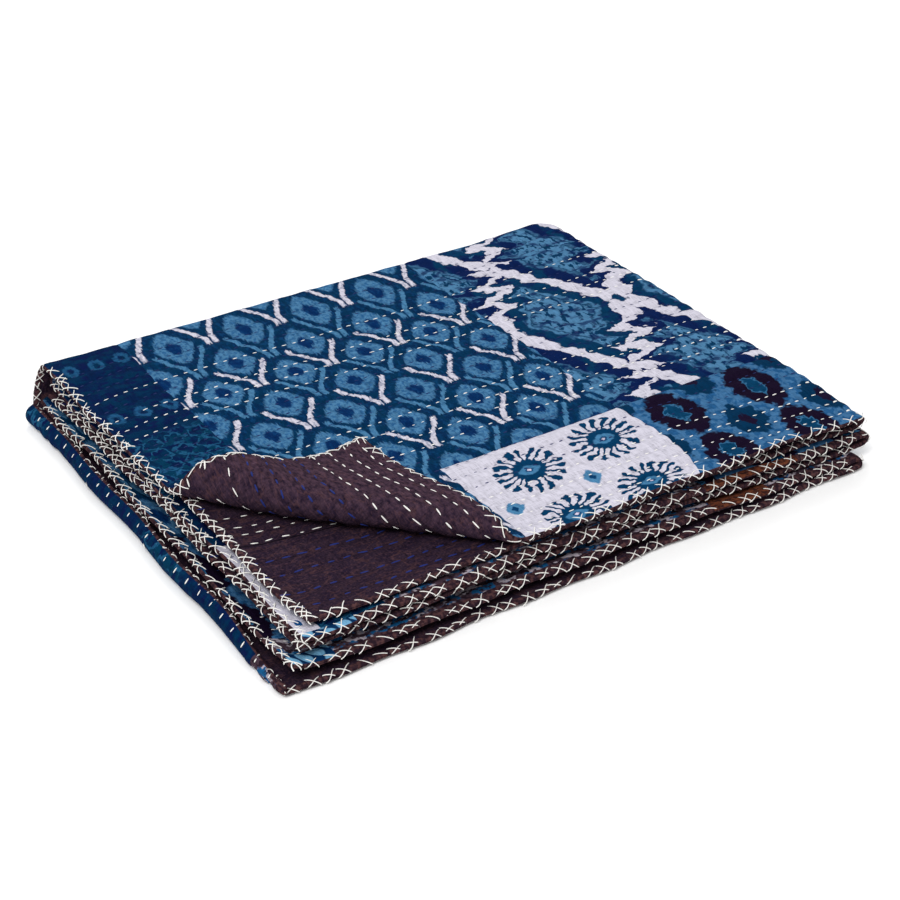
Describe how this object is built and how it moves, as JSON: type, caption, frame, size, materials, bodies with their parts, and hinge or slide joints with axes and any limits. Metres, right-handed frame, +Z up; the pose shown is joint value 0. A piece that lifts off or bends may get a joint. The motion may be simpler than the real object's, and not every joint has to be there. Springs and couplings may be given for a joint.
{
  "type": "kantha quilt",
  "caption": "Folded kantha quilt of six layers: printed patchwork cloth over a plain backing, sewn in rows, one corner turned back.",
  "frame": {"origin": "under the middle of the folded stack's box, on the surface it rests on", "axes": "+X along the long front edge from the left, open side to the folded right side, +Y from the open front to the folded back, +Z up"},
  "size_m": [0.504, 0.4022, 0.0703],
  "materials": {
    "printed_patchwork": "soft matt printed cotton",
    "brown_backing": "soft matt plain cotton"
  },
  "bodies": {
    "root": {"patchwork_top": "printed_patchwork", "backing_cloth": "brown_backing"}
  },
  "joints": []
}
